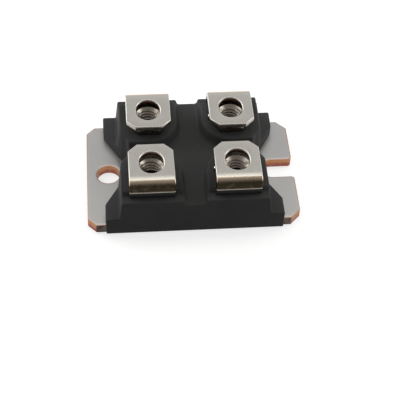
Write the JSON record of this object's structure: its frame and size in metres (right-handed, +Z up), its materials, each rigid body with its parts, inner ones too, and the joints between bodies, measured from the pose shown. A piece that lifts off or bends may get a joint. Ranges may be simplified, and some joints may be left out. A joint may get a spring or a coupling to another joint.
{
  "type": "schottky diode module",
  "caption": "Low rectangular power diode module: metal base plate with a mounting hole and an open slot, black moulded body, and raised screw terminals over captive nuts.",
  "frame": {"origin": "centre of the base plate's underside", "axes": "+X along the module to the slotted end, +Y to the rear (cathode) terminals, +Z up from the heat sink"},
  "size_m": [0.038, 0.0252, 0.012],
  "materials": {
    "base_nickel": "matt nickel plate, with bare copper on the cut edges and in the holes",
    "moulding": "black moulding compound, satin with a fine grain",
    "terminal_nickel": "satin nickel plate, with copper showing on the sheared edges",
    "nut_steel": "bright plated steel",
    "copper": "bare copper",
    "ceramic": "white alumina",
    "die": "metallised silicon"
  },
  "bodies": {
    "root": {"base_plate": "base_nickel", "housing": "moulding", "terminal_nuts": "nut_steel", "ceramic_substrate": "ceramic", "diode_die_left": "die", "diode_die_right": "die", "terminal_front_left": "terminal_nickel", "terminal_front_right": "terminal_nickel", "terminal_rear_left": "terminal_nickel", "terminal_rear_right": "terminal_nickel", "substrate_bottom_copper": "copper", "cathode_pad_left": "copper", "cathode_pad_right": "copper", "anode_pad_left": "copper", "anode_pad_right": "copper", "anode_clip_left": "copper", "anode_clip_right": "copper"}
  },
  "joints": []
}
